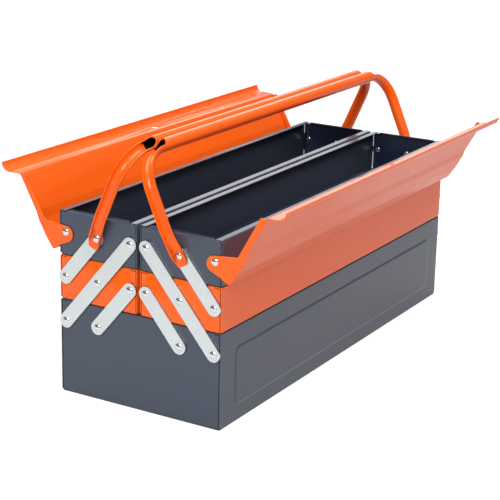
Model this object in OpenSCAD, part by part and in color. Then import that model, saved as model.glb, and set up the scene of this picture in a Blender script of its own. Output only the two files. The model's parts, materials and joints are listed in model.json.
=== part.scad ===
// Cantilever tool box: a deep base, two pairs of trays that swing out on riveted
// links, two lids and two carrying handles. Shown with the trays closed over the
// base and both lids folded right back.
// X runs along the box, Y across it and Z up; the origin is under the middle of the base.
// "front" is the -Y half and "rear" the +Y half; "left" is the -X end, "right" the +X end.

/* [Box] */
// Length over the end walls
box_l = 528; // [400:4:640]
// Width over the long walls when closed
box_w = 200; // [184:2:240]
// Height of the base tray
base_h = 105; // [80:1:140]
// Height of each swinging tray
tray_h = 48.6; // [44:0.2:60]
// Air between one tier and the next
tier_gap = 0.4; // [0.3:0.1:1]
// Air between the front and the rear trays
centre_gap = 3.8; // [2:0.2:8]
// Thickness of the sheet steel
sheet = 1; // [0.8:0.1:1.2]

/* [Rims] */
// Width of the inward flange on the long walls
rim_w = 7.5; // [4:0.5:12]
// Width of the inward flange on the end walls of the base and the middle trays
end_rim_w = 6; // [4:0.5:10]
// Width of the leaning hem along the end walls of the top trays
hem_w = 4.6; // [3.6:0.2:6]
// Lean of that hem from upright
hem_lean = 60; // [45:1:65]
// Depth below the rim at which the hem is folded
hem_fold = 1.4; // [1:0.1:2]
// Distance from each corner to the start of the hem
hem_margin = 8; // [6:1:16]
// Relief notch beside each end of the hem
hem_relief = 0.5; // [0.3:0.1:0.8]
// Radius of the relief in each bottom corner of a tray
corner_relief_r = 2; // [1.4:0.2:3]

/* [Embossed panel on the base] */
// Distance from the ends of the box to the panel
panel_inset = 27; // [20:1:60]
// Lower edge of the panel above the underside
panel_low = 17; // [12:1:30]
// Upper edge of the panel below the rim
panel_high = 21; // [14:1:30]
// Height that the panel stands out
panel_raise = 1.2; // [0.4:0.1:2]
// Corner radius of the panel
panel_r = 10; // [4:1:16]

/* [Linkage] */
// Distance from the centre plane to the inner column of rivets
inner_column = 10; // [10:0.5:14]
// Distance from the long wall to the outer column of rivets
outer_margin = 8; // [8:0.5:14]
// Depth of every row of rivets below the rim of its tray
pivot_drop = 23; // [18:0.5:26]
// Width of a link
link_w = 16; // [12:0.5:16]
// Thickness of a link
link_t = 2; // [1.5:0.1:3]
// Side play between a wall and the link or lid ear on it
side_play = 0.3; // [0.2:0.1:0.6]

/* [Rivets] */
// Shank radius
rivet_r = 1.9; // [1.5:0.1:2.5]
// Head radius
head_r = 4.1; // [3.4:0.1:5]
// Head height
head_h = 1.5; // [1:0.1:2.5]
// Radius of the closed end inside the tray
tail_r = 3.1; // [2.8:0.1:4]
// Height of the closed end inside the tray
tail_h = 0.9; // [0.6:0.1:1.5]
// Radial running play of whatever turns on a rivet
turning_play = 0.06; // [0.03:0.01:0.1]
// Radial play of a rivet in its own wall
seated_play = 0.02; // [0.01:0.01:0.04]
// Air under a rivet head
head_play = 0.1; // [0.05:0.05:0.3]

/* [Lids] */
// Angle from shut to fully open
lid_open = 119; // [110:1:125]
// Side distance from the long wall to the outside of the lid's skirt
skirt_reach = 3.2; // [2.4:0.2:4]
// Air between a shut lid and the hems below it
lid_air = 0.5; // [0.4:0.1:2]
// Run of the sloping strip beside the skirt
slope_run = 17; // [10:1:22]
// Drop of the sloping strip to the skirt
slope_drop = 1.8; // [0.5:0.1:3]
// Width of the flat band beside the sloping strip
band_w = 18; // [14:1:28]
// Width of the step from the band down to the main panel
step_run = 9; // [6:1:14]
// Height of that step
step_rise = 1.5; // [0.8:0.1:2.5]
// Distance from the centre plane to the fold where the lip rises
fold_y = 16.4; // [15:0.2:20]
// Rise angle of the lip
lip_rise = 61; // [55:1:65]
// Straight part of the front lid's lip
front_lip_run = 11.5; // [11:0.1:12]
// How much taller the rear lid's lip is, so that it laps over the front one
lip_lap = 3; // [2.8:0.1:4]
// Outer radius of the rolled edge of the lip
lip_r = 9.5; // [7:0.5:10]
// Depth of the flange along each end of the lid
flange_d = 7; // [5:0.5:9]
// Cut across the corner of that flange beside the fold
flange_cut = 3; // [2:0.5:5]
// Width of the ear where it leaves the flange
ear_w = 32; // [28:1:36]
// Radius of the ear's round end
ear_r = 8.9; // [8:0.1:9.4]
// Height of the middle of that round end above the rivet
ear_up = 0.7; // [0:0.1:1.5]
// Radius of the padlock hole
padlock_r = 5.2; // [4:0.2:5.2]
// Distance from the fold to the padlock hole along the front lip
padlock_up = 6; // [5.8:0.1:6.2]

/* [Handles] */
// Height of the grip above the handle rivets
grip_rise = 100; // [94:1:120]
// Outer radius of the grip tube
grip_r = 7; // [6:0.5:9]
// Air between the two grips
grip_gap = 0.6; // [0.4:0.1:2]
// Wall of the handle
handle_t = 1.2; // [1:0.1:1.6]
// Inner radius of the bend between arm and grip
bend_r = 32; // [24:1:36]
// Length of the slanting cut at each end of the grip
bevel_run = 5; // [4:1:12]
// Distance from the end of the bend to the start of that cut
bevel_inset = 1; // [0.5:0.5:4]
// Sideways step of the arm above its flat foot
arm_step = 2.5; // [2:0.1:4]
// Foot of the arm below the rivet
foot_low = 12; // [9:0.5:13]
// Flat foot above the rivet
foot_high = 6; // [5:0.5:9]
// Run of the sideways step
arm_step_run = 5; // [4:0.5:9]
// Length over which the foot and the arm lap
foot_lap = 3; // [2:0.5:4]
// Height above the rivet at which the arm reaches its full depth
taper_high = 29; // [22:1:36]
// Depth of the foot's side flanges at the bottom
foot_flange = 4; // [3:0.5:6]

/* [Hidden] */
$fn = 64;

orange = [0.93, 0.30, 0.06];
slate = [0.23, 0.26, 0.31];
zinc = [0.80, 0.82, 0.83];

// Tiers, from the ground up
tier_pitch = tray_h + tier_gap;
base_top = base_h;
middle_floor = base_top + tier_gap;
middle_top = middle_floor + tray_h;
top_floor = middle_top + tier_gap;
top_rim = top_floor + tray_h;

// Rivet columns, measured from the centre plane, and rivet rows
outer_column = box_w / 2 - outer_margin;
middle_column = (outer_column + inner_column) / 2;
base_row = base_top - pivot_drop;
middle_row = middle_top - pivot_drop;
top_row = top_rim - pivot_drop;

// How far the leaning hems stand above the rims, and how far their feet sink into the walls
hem_proud = hem_w * cos(hem_lean) + sheet / 2 * sin(hem_lean) - hem_fold;
hem_seat = 0.15 * sheet;

// Planes at the right-hand end, outwards along X
wall_x = box_l / 2;
link_x = wall_x + side_play;
arm_x = link_x + link_t;
ear_x = wall_x + side_play;

// Lid surfaces with the lid shut
lid_top = top_rim + hem_proud + lid_air + sheet;
skirt_y = -box_w / 2 - skirt_reach;
pivot_to_skirt = outer_column + skirt_y;
// The skirt is as deep as it takes for its edge to meet the wall when the lid is open
skirt_low = top_row
    + (outer_margin + side_play + pivot_to_skirt * cos(lid_open)) / sin(lid_open);
lip_facets = 10;

// Handle plane: it leans in from the rivets to the grip
grip_y = grip_r + grip_gap / 2;
handle_lean = atan2(middle_column - grip_y, grip_rise);
handle_reach = norm([middle_column - grip_y, grip_rise]);
arm_side_x = arm_x + arm_step;
bend_x = arm_side_x - bend_r;
bend_z = handle_reach - grip_r - bend_r;
foot_end = foot_high + arm_step_run;
// Overlap of the two halves of the grip's tube
grip_seam = 0.05;

// ---------- helpers ----------

// A flat shape drawn in Y and Z, given a length along X from x0
module along_x(x0, length)
    translate([x0, 0, 0]) rotate([90, 0, 90]) linear_extrude(length) children();

module x_rod(r, x0, length, y, z)
    translate([x0, y, z]) rotate([0, 90, 0]) cylinder(r = r, h = length);

module both_ends() {
    children();
    mirror([1, 0, 0]) children();
}

// What is drawn for the front half, placed on the rear half
module at_rear()
    mirror([0, 1, 0]) children();

module at_left()
    mirror([1, 0, 0]) children();

function unit(v) = v / norm(v);
function right_of(v) = [v[1], -v[0]];

// Offset of one corner of a path to its right, mitred
function mitred(p, i, t) =
    let (last = len(p) - 1,
         before = right_of(unit(p[max(i, 1)] - p[max(i, 1) - 1])),
         after = right_of(unit(p[min(i, last - 1) + 1] - p[min(i, last - 1)])))
    p[i] + t * (before + after) / (1 + before * after);

// Closed outline of a bent sheet of thickness t along an open path
function sheet_outline(p, t) =
    concat(p, [for (i = [len(p) - 1 : -1 : 0]) mitred(p, i, t)]);

// Point where a line from p touches the circle about c; side is 1 or -1
function tangent_point(p, c, r, side) =
    let (d = norm(p - c), to_p = atan2(p[1] - c[1], p[0] - c[0]), a = to_p + side * acos(r / d))
    c + r * [cos(a), sin(a)];

// ---------- trays ----------

// Leaning hem along the top of the right-hand end wall, its foot sunk a little into the wall
module end_hem(y0, y1, top)
    translate([wall_x - sheet / 2, 0, top - hem_fold])
        rotate([0, -hem_lean, 0])
            along_x(-sheet / 2, sheet)
                polygon([
                    [y0 + hem_margin, -hem_seat],
                    [y1 - hem_margin, -hem_seat],
                    [y1 - hem_margin - hem_w, hem_w],
                    [y0 + hem_margin + hem_w, hem_w]
                ]);

// Open tray of folded sheet between y0 and y1, with a rim along each long wall
module tray(y0, y1, floor_z, height) {
    difference() {
        translate([-wall_x, y0, floor_z]) cube([box_l, y1 - y0, height]);
        translate([-wall_x + sheet, y0 + sheet, floor_z + sheet])
            cube([box_l - 2 * sheet, y1 - y0 - 2 * sheet, height]);
        for (x = [-wall_x, wall_x], y = [y0, y1])
            translate([x, y, floor_z - 1]) cylinder(r = corner_relief_r, h = corner_relief_r + 2);
    }
    for (y = [y0, y1 - rim_w])
        translate([-wall_x + sheet / 2, y, floor_z + height - sheet])
            cube([box_l - sheet, rim_w, sheet]);
}

// Tray with a flat rim along its end walls too
module flat_rim_tray(y0, y1, floor_z, height) {
    tray(y0, y1, floor_z, height);
    both_ends()
        translate([wall_x - end_rim_w, y0 + sheet / 2, floor_z + height - sheet])
            cube([end_rim_w - sheet / 2, y1 - y0 - sheet, sheet]);
}

// Tray with leaning hems along its end walls
module hemmed_tray(y0, y1, floor_z, height) {
    top = floor_z + height;
    slot = hem_margin - hem_relief;
    difference() {
        tray(y0, y1, floor_z, height);
        both_ends()
            translate([wall_x - 2 * sheet, y0 + slot, top - hem_fold])
                cube([3 * sheet, y1 - y0 - 2 * slot, hem_fold + 1]);
    }
    both_ends() end_hem(y0, y1, top);
}

// Holes for one row of rivets through both end walls
module rivet_holes(columns, z)
    both_ends()
        for (y = columns)
            x_rod(rivet_r + seated_play, wall_x - 2 * sheet, 3 * sheet, y, z);

module middle_tray()
    color(orange)
        difference() {
            flat_rim_tray(-box_w / 2, -centre_gap / 2, middle_floor, tray_h);
            rivet_holes([-outer_column, -middle_column, -inner_column], middle_row);
        }

module top_tray()
    color(slate)
        difference() {
            hemmed_tray(-box_w / 2, -centre_gap / 2, top_floor, tray_h);
            rivet_holes([-outer_column, -middle_column, -inner_column], top_row);
        }

// Rounded rectangle of the embossed panel, drawn in X and Z and grown by g
module panel_outline(g) {
    w = box_l / 2 - panel_inset + g;
    z0 = panel_low - g;
    z1 = base_h - panel_high + g;
    r = panel_r + g;
    translate([-w + r, z0]) square([2 * (w - r), z1 - z0]);
    translate([-w, z0 + r]) square([2 * w, z1 - z0 - 2 * r]);
    for (x = [-w + r, w - r], z = [z0 + r, z1 - r])
        translate([x, z]) circle(r = r);
}

module base_tray()
    color(slate)
        difference() {
            union() {
                flat_rim_tray(-box_w / 2, box_w / 2, 0, base_h);
                for (side = [-1, 1])
                    translate([0, side * (box_w / 2 + (panel_raise - sheet) / 2), 0])
                        rotate([90, 0, 0])
                            linear_extrude(panel_raise + sheet, center = true) panel_outline(0);
            }
            for (side = [-1, 1])
                translate([0, side * (box_w / 2 + (panel_raise - 3 * sheet) / 2), 0])
                    rotate([90, 0, 0])
                        linear_extrude(panel_raise + sheet, center = true) panel_outline(-sheet);
            rivet_holes([-outer_column, -middle_column, middle_column, outer_column], base_row);
        }

// ---------- links ----------

// Flat bar at the right-hand end through a row of pivots, with a hole at each of them
module link(pivots) {
    from = pivots[0];
    along = pivots[len(pivots) - 1] - from;
    length = norm(along);
    color(zinc)
        translate([link_x, from[0], from[1]])
            rotate([atan2(along[1], along[0]), 0, 0])
                along_x(0, link_t)
                    difference() {
                        union() {
                            for (y = [0, length])
                                translate([y, 0]) circle(r = link_w / 2);
                            translate([0, -link_w / 2]) square([length, link_w]);
                        }
                        for (p = pivots)
                            translate([norm(p - from), 0]) circle(r = rivet_r + turning_play);
                    }
}

module long_link()
    link([[-outer_column, base_row], [-middle_column, middle_row], [-inner_column, top_row]]);

module lower_link()
    link([[-middle_column, base_row], [-inner_column, middle_row]]);

module upper_link()
    link([[-outer_column, middle_row], [-middle_column, top_row]]);

// ---------- rivets ----------

// Rivet through the right-hand end wall and a stack of pieces up to the plane x1
module rivet(y, z, x1) {
    dome_r = (head_r * head_r + head_h * head_h) / (2 * head_h);
    tail_x = wall_x - sheet - tail_h;
    head_x = x1 + head_play;
    translate([tail_x, y, z])
        rotate([0, 90, 0])
            rotate_extrude() {
                square([tail_r, tail_h]);
                square([rivet_r, head_x - tail_x]);
                translate([0, head_x - tail_x])
                    intersection() {
                        translate([0, head_h - dome_r]) circle(r = dome_r);
                        square([head_r, head_h]);
                    }
            }
}

module rivets(columns, z, x1)
    color(zinc) both_ends() for (y = columns) rivet(y, z, x1);

module base_rivets() rivets([-outer_column, -middle_column], base_row, arm_x);

module middle_rivets()
    rivets([-outer_column, -middle_column, -inner_column], middle_row, arm_x);

module top_rivets() rivets([-inner_column], top_row, arm_x);

module lid_rivets() rivets([-outer_column], top_row, ear_x + sheet);

module handle_rivets() rivets([-middle_column], top_row, arm_x + handle_t);

// ---------- lids ----------

// Outer surface of the panel from the skirt's edge to the fold, lid shut
function lid_panel() = [
    [skirt_y, skirt_low],
    [skirt_y, lid_top + step_rise - slope_drop],
    [skirt_y + slope_run, lid_top + step_rise],
    [skirt_y + slope_run + band_w, lid_top + step_rise],
    [skirt_y + slope_run + band_w + step_run, lid_top],
    [-fold_y, lid_top]
];

// Rising lip: a straight run, then a quarter turn of the rolled edge
function lid_lip(run) =
    let (rise = [cos(lip_rise), sin(lip_rise)],
         start = [-fold_y, lid_top] + run * rise,
         centre = start + lip_r * right_of(rise))
    [for (i = [0 : lip_facets])
        let (a = 90 + lip_rise - 90 * i / lip_facets) centre + lip_r * [cos(a), sin(a)]];

// End plate: the flange under the panel and the ear down to the rivet
module lid_end() {
    panel = lid_panel();
    ear_at = [skirt_y + ear_r, top_row + ear_up];
    ear_in = [skirt_y + ear_w, lid_top - flange_d];
    difference() {
        union() {
            polygon([
                panel[1], panel[2], panel[3], panel[4], panel[5],
                [-fold_y, lid_top - sheet],
                [-fold_y - flange_cut, lid_top - flange_d],
                ear_in,
                tangent_point(ear_in, ear_at, ear_r, -1),
                ear_at,
                tangent_point(panel[1], ear_at, ear_r, 1)
            ]);
            translate(ear_at) circle(r = ear_r);
        }
        translate([-outer_column, top_row]) circle(r = rivet_r + turning_play);
    }
}

// Padlock hole through the lip, square to its straight run
module padlock_hole(up)
    translate([0, -fold_y, lid_top])
        rotate([lip_rise, 0, 0])
            translate([0, up, -2 * sheet]) cylinder(r = padlock_r, h = 3 * sheet);

module shut_lid(run, hole_up) {
    lid_x = ear_x + sheet;
    difference() {
        along_x(-lid_x, 2 * lid_x)
            polygon(sheet_outline(concat(lid_panel(), lid_lip(run)), sheet));
        padlock_hole(hole_up);
    }
    both_ends() along_x(ear_x, sheet) lid_end();
}

module open_lid(run, hole_up)
    color(orange)
        translate([0, -outer_column, top_row])
            rotate([lid_open, 0, 0])
                translate([0, outer_column, -top_row]) shut_lid(run, hole_up);

module front_lid() open_lid(front_lip_run, padlock_up);

module rear_lid() open_lid(front_lip_run + lip_lap, padlock_up + lip_lap);

// ---------- handles ----------

// Half of the tube's wall, in the flat: the half that faces away from positive X,
// reaching past the middle by extra
module half_ring(extra = 0)
    difference() {
        circle(r = grip_r);
        circle(r = grip_r - handle_t);
        translate([extra, -grip_r - 1]) square([grip_r + 1, 2 * grip_r + 2]);
    }

// A shape drawn in X and Z, given a width along Y about the middle
module across(width)
    rotate([90, 0, 0]) linear_extrude(width, center = true) children();

// Foot: a flat channel on the upper link, stepping out to the arm
module handle_foot() {
    side_w = grip_r - handle_t / 2;
    lap_end = foot_end + foot_lap;
    across(2 * grip_r)
        polygon([
            [arm_x, -foot_low], [arm_x, foot_high], [arm_side_x, foot_end], [arm_side_x, lap_end],
            [arm_side_x + handle_t, lap_end], [arm_side_x + handle_t, foot_end],
            [arm_x + handle_t, foot_high], [arm_x + handle_t, -foot_low]
        ]);
    for (side = [-1, 1])
        translate([0, side * side_w, 0])
            across(handle_t)
                polygon([
                    [arm_x, -foot_low], [arm_x, foot_high], [arm_side_x, foot_end],
                    [arm_side_x, lap_end], [arm_side_x + grip_r, lap_end],
                    [arm_side_x + grip_r, -foot_low]
                ]);
}

// Arm: the foot, then half a tube that runs up and bends over into the grip; the foot and
// the start of the half tube taper to shallow flanges at the bottom
module handle_arm() {
    difference() {
        union() {
            handle_foot();
            translate([arm_side_x + grip_r, 0, foot_end])
                linear_extrude(bend_z - foot_end) half_ring();
        }
        across(2 * grip_r + 2)
            polygon([
                [arm_x + foot_flange, -foot_low],
                [arm_side_x + grip_r, taper_high],
                [arm_side_x + grip_r + 1, taper_high],
                [arm_side_x + grip_r + 1, -foot_low - 1],
                [arm_x + foot_flange, -foot_low - 1]
            ]);
        x_rod(rivet_r + turning_play, arm_x - 1, handle_t + 2, 0, 0);
    }
    translate([bend_x, 0, bend_z])
        rotate([90, 0, 0])
            rotate_extrude(angle = 90) translate([bend_r + grip_r, 0]) half_ring();
}

// One half of the grip's tube, turned about its axis
module grip_half(turn, extra = 0)
    along_x(-bend_x, 2 * bend_x)
        translate([0, handle_reach]) rotate(turn) half_ring(extra);

// Grip: the lower half runs on from the bends, the upper half ends in slanting cuts
module grip() {
    bevel_x = bend_x - bevel_inset;
    grip_half(90);
    difference() {
        grip_half(-90, grip_seam);
        both_ends()
            across(2 * grip_r + 2)
                polygon([
                    [bevel_x, handle_reach - 1],
                    [bevel_x, handle_reach],
                    [bevel_x - bevel_run, handle_reach + grip_r],
                    [bevel_x - bevel_run, handle_reach + grip_r + 1],
                    [bend_x + 1, handle_reach + grip_r + 1],
                    [bend_x + 1, handle_reach - 1]
                ]);
    }
}

module handle()
    color(orange)
        translate([0, -middle_column, top_row])
            rotate([-handle_lean, 0, 0]) {
                grip();
                both_ends() handle_arm();
            }

// ---------- the box ----------

base_tray();

middle_tray();  // front_middle_tray
at_rear() middle_tray();  // rear_middle_tray
top_tray();  // front_top_tray
at_rear() top_tray();  // rear_top_tray

front_lid();
at_rear() rear_lid();
handle();  // front_handle
at_rear() handle();  // rear_handle

at_left() long_link();  // front_left_long_link
long_link();  // front_right_long_link
at_left() at_rear() long_link();  // rear_left_long_link
at_rear() long_link();  // rear_right_long_link

at_left() lower_link();  // front_left_lower_link
lower_link();  // front_right_lower_link
at_left() at_rear() lower_link();  // rear_left_lower_link
at_rear() lower_link();  // rear_right_lower_link

at_left() upper_link();  // front_left_upper_link
upper_link();  // front_right_upper_link
at_left() at_rear() upper_link();  // rear_left_upper_link
at_rear() upper_link();  // rear_right_upper_link

base_rivets();  // front_base_rivets
at_rear() base_rivets();  // rear_base_rivets
middle_rivets();  // front_middle_rivets
at_rear() middle_rivets();  // rear_middle_rivets
top_rivets();  // front_top_rivets
at_rear() top_rivets();  // rear_top_rivets
lid_rivets();  // front_lid_rivets
at_rear() lid_rivets();  // rear_lid_rivets
handle_rivets();  // front_handle_rivets
at_rear() handle_rivets();  // rear_handle_rivets
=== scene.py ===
# %% [markdown]
# # A cantilever tool box in painted sheet steel
#
# The box is a deep base, two pairs of trays that swing out on riveted links, two lids and two
# carrying handles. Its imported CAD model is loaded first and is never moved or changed. Every
# visible piece is then modelled in the same place, with what a press brake, a tube bender and a
# paint shop leave on the real one: fold radii, broken edges, seams and a soft embossed panel.

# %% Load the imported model
import json
import math

import bmesh
import bpy
from mathutils import Matrix, Vector

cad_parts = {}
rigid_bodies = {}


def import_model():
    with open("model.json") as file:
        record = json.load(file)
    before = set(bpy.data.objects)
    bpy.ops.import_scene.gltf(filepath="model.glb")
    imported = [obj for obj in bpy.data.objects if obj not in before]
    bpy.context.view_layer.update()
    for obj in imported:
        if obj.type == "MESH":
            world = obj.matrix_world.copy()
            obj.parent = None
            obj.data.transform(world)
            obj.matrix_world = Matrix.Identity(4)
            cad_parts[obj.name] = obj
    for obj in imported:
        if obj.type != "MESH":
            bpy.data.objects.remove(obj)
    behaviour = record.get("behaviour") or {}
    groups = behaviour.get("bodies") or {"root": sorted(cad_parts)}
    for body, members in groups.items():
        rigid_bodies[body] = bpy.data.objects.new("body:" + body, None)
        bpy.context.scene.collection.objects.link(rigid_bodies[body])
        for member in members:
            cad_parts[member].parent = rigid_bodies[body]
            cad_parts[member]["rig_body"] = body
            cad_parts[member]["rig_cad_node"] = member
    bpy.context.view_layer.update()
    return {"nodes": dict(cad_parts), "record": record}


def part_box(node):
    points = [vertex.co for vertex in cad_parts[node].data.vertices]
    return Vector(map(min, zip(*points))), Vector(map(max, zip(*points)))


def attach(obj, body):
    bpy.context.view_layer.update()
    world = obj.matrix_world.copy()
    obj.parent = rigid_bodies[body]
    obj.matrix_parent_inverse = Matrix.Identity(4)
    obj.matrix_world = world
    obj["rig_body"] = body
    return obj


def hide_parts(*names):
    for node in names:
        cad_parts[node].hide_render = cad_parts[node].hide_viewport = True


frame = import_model()
node_body = {
    node: body
    for body, members in frame["record"]["behaviour"]["bodies"].items()
    for node in members
}
node_slot = {part["node"]: part["material_slot"] for part in frame["record"]["subparts"]}

# %% [markdown]
# ## Sizes
#
# A sheet-metal drawing is in millimetres, so the pieces are drawn in millimetres too, and each
# finished mesh is scaled to metres once. X runs along the box, Y across it and Z up. "Front" is
# the half at negative Y. Lids are drawn shut and handles upright, then turned to their rest place.
# The rows and columns are the rivets' heights and their distances from the middle of the box.

# %% Sizes in millimetres
MM = 0.001
WALL_X, WALL_Y = 264.0, 100.0
CENTRE_Y = 1.9
SHEET = 1.0
BASE_TOP, MIDDLE_FLOOR, TOP_FLOOR, TRAY_HEIGHT = 105.0, 105.4, 154.4, 48.6
BASE_ROW, MIDDLE_ROW, TOP_ROW = 82.0, 131.0, 180.0
OUTER_COLUMN, MIDDLE_COLUMN, INNER_COLUMN = 92.0, 51.0, 10.0
LINK_AIR, LINK_T = 0.3, 2.0
LINK_X = WALL_X + LINK_AIR
ARM_X = LINK_X + LINK_T
print(f"body {2 * WALL_X:.0f} by {2 * WALL_Y:.0f} by {TOP_FLOOR + TRAY_HEIGHT:.0f} mm")

# %% [markdown]
# ## Helpers
#
# An operator works on everything that is selected, so each step starts from nothing selected.
# `pick` then selects vertices, edges or faces by a test on each one, which is what a click does
# by hand, but it still finds them when a size changes.


# %% Selecting
def only(obj):
    """Leave one object selected and active, in object mode."""
    if bpy.context.mode != "OBJECT":
        bpy.ops.object.mode_set(mode="OBJECT")
    bpy.ops.object.select_all(action="DESELECT")
    obj.hide_set(False)
    obj.select_set(True)
    bpy.context.view_layer.objects.active = obj


def edit(obj):
    """Open one object in edit mode with nothing selected."""
    only(obj)
    bpy.ops.object.mode_set(mode="EDIT")
    bpy.ops.mesh.select_mode(type="VERT")
    bpy.ops.mesh.select_all(action="DESELECT")


def finish_edit():
    bpy.ops.object.mode_set(mode="OBJECT")


# %% Picking by a test
def pick(obj, kind, test):
    """Select the elements of one kind that pass a test, and return how many there are."""
    bpy.ops.mesh.select_mode(type=kind)
    bpy.ops.mesh.select_all(action="DESELECT")
    mesh = bmesh.from_edit_mesh(obj.data)
    elements = {"VERT": mesh.verts, "EDGE": mesh.edges, "FACE": mesh.faces}[kind]
    count = 0
    for element in elements:
        if test(element):
            element.select_set(True)
            count += 1
    bmesh.update_edit_mesh(obj.data)
    return count


def both_ends(edge, test):
    """Do both vertices of an edge pass a test on their place?"""
    return all(test(vertex.co) for vertex in edge.verts)


def near(a, b, slack=0.01):
    return abs(a - b) < slack


# %% [markdown]
# ## Drawing a bent sheet
#
# Folded sheet could be bevelled out of a box, but then every fold has to be found again. It is
# easier to draw it as the press brake makes it: first the profile, then its length. `rounded`
# turns the sharp corners of a profile into arcs of the fold's outer radius. `draw` puts down a
# plane, merges it to one vertex and extrudes that vertex from point to point.

# %% Rounded profiles
ARC_STEP = 15


def rounded(corners):
    """Points of a path with an arc at each corner; corners are ((a, b), radius)."""
    points = []
    for i, (corner, radius) in enumerate(corners):
        here = Vector(corner)
        if not radius:
            points.append(here)
            continue
        back = (Vector(corners[i - 1][0]) - here).normalized()
        on = (Vector(corners[i + 1][0]) - here).normalized()
        half = back.angle(on) / 2
        centre = here + (back + on).normalized() * radius / math.sin(half)
        start = here + back * radius / math.tan(half) - centre
        end = here + on * radius / math.tan(half) - centre
        turn = math.pi - 2 * half
        steps = max(2, round(math.degrees(turn) / ARC_STEP))
        for step in range(steps + 1):
            share = step / steps
            mix = start * math.sin((1 - share) * turn) + end * math.sin(share * turn)
            points.append(centre + mix / math.sin(turn))
    return points


def path_length(points):
    return sum((Vector(b) - Vector(a)).length for a, b in zip(points, points[1:]))


right_angle = rounded([((0, 5), 0), ((0, 0), 1), ((5, 0), 0)])
print("a right-angle fold of 1 mm radius is drawn with", len(right_angle) - 2, "points")


# %% Drawing and extruding
def draw(name, points):
    """A chain of edges from point to point, open in edit mode."""
    if bpy.context.mode != "OBJECT":
        bpy.ops.object.mode_set(mode="OBJECT")
    bpy.ops.object.select_all(action="DESELECT")
    bpy.ops.mesh.primitive_plane_add(size=0.1, location=points[0])
    obj = bpy.context.active_object
    obj.name = name
    bpy.ops.object.transform_apply(location=True)
    bpy.ops.object.mode_set(mode="EDIT")
    bpy.ops.mesh.select_mode(type="VERT")
    bpy.ops.mesh.select_all(action="SELECT")
    bpy.ops.mesh.merge(type="CENTER")
    for here, there in zip(points, points[1:]):
        step = Vector(there) - Vector(here)
        bpy.ops.mesh.extrude_vertices_move(TRANSFORM_OT_translate={"value": step})
    return obj


def stretch(vector):
    """Extrude the selected edges along a vector."""
    bpy.ops.mesh.extrude_edges_move(TRANSFORM_OT_translate={"value": vector})


def sweep(vector):
    """Extrude the whole chain along a vector."""
    bpy.ops.mesh.select_all(action="SELECT")
    stretch(vector)


# %% [markdown]
# A modifier is added, set and applied at once, so that every finished piece is a plain mesh.
# Solidify gives the sheet its thickness towards the inside, and a narrow bevel breaks its cut
# edges. It is the bevel that catches the thin highlights that make metal read as metal.

# %% Thickness and finish
DOUBLES = 0.002


def apply_modifier(obj, kind, **settings):
    """Add one modifier with its settings and apply it at once."""
    only(obj)
    modifier = obj.modifiers.new(kind.lower(), kind)
    for name, value in settings.items():
        setattr(modifier, name, value)
    bpy.ops.object.modifier_apply(modifier=modifier.name)


def face_outwards(obj, test, direction):
    """Merge doubles and turn all faces so that those that pass a test look along a direction."""
    edit(obj)
    bpy.ops.mesh.select_all(action="SELECT")
    bpy.ops.mesh.remove_doubles(threshold=DOUBLES)
    bpy.ops.mesh.normals_make_consistent(inside=False)
    mesh = bmesh.from_edit_mesh(obj.data)
    facing = sum(f.normal.dot(Vector(direction)) * f.calc_area() for f in mesh.faces if test(f))
    if facing < 0:
        bpy.ops.mesh.flip_normals()
    finish_edit()


def thicken(obj, thickness):
    apply_modifier(obj, "SOLIDIFY", thickness=thickness, offset=-1, use_even_offset=True)


def break_edges(obj, width, angle=50, segments=2):
    apply_modifier(obj, "BEVEL", width=width, segments=segments, limit_method="ANGLE",
                   angle_limit=math.radians(angle), harden_normals=False)


def smooth(obj, angle=32):
    only(obj)
    bpy.ops.object.shade_smooth_by_angle(angle=math.radians(angle))
    apply_modifier(obj, "WEIGHTED_NORMAL", keep_sharp=True)


# %% [markdown]
# Holes are punched with a Boolean, because the punch can stand at any angle. A piece that comes
# in a pair is modelled once and mirrored. Its mesh is mirrored and not its object, so that the
# object stays at the origin, unturned and unscaled, and the faces are then turned round again.


# %% Punching, mirroring and joining
def punch(obj, radius, depth, location, rotation=(0, 0, 0), vertices=24):
    """Cut a round hole with a cylinder that is then thrown away."""
    bpy.ops.object.select_all(action="DESELECT")
    bpy.ops.mesh.primitive_cylinder_add(vertices=vertices, radius=radius, depth=depth,
                                        location=location, rotation=rotation)
    tool = bpy.context.active_object
    apply_modifier(obj, "BOOLEAN", operation="DIFFERENCE", solver="EXACT", object=tool)
    bpy.data.objects.remove(tool)


def mirrored_copy(obj, name, axis):
    """A copy with its own mesh, mirrored across the plane at zero on one axis."""
    only(obj)
    bpy.ops.object.duplicate()
    copy = bpy.context.active_object
    copy.name = name
    scale = Vector((1, 1, 1))
    scale["XYZ".index(axis)] = -1
    copy.data.transform(Matrix.Diagonal((*scale, 1)))
    copy.data.flip_normals()
    return copy


def join(first, *others):
    only(first)
    for other in others:
        other.select_set(True)
    bpy.ops.object.join()
    return first


# %% [markdown]
# A finished piece takes the place of its CAD node and rides on the same body, so it moves with
# the joints. Its size is measured against the node's as a check that the looks add nothing.

# %% Placing a piece
pieces = {}


def place(obj, node):
    """Scale a finished piece to metres and let it stand for its CAD node."""
    obj.data.transform(Matrix.Scale(MM, 4))
    obj.name = node + "_finished"
    obj.data.name = obj.name
    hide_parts(node)
    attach(obj, node_body[node])
    pieces[node] = obj
    low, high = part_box(node)
    proud = max(
        max(low[axis] - vertex.co[axis], vertex.co[axis] - high[axis])
        for vertex in obj.data.vertices for axis in range(3))
    print(f"{node}: {len(obj.data.polygons)} faces, {proud / MM:+.2f} mm past its CAD box")


# %% [markdown]
# ## Trays
#
# A tray is two kinds of sheet. One long sheet is the floor, both long walls and their flat rims:
# a channel, so it is drawn as one profile and swept along the box. An end plate closes each end.
# It sits between the long walls with a hair of room, which shows as the thin dark seam at every
# corner. One extruded box would be quicker, but it would have no seams. The floor's ends step
# back, to leave room for the fold at the foot of the end plate.

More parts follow.
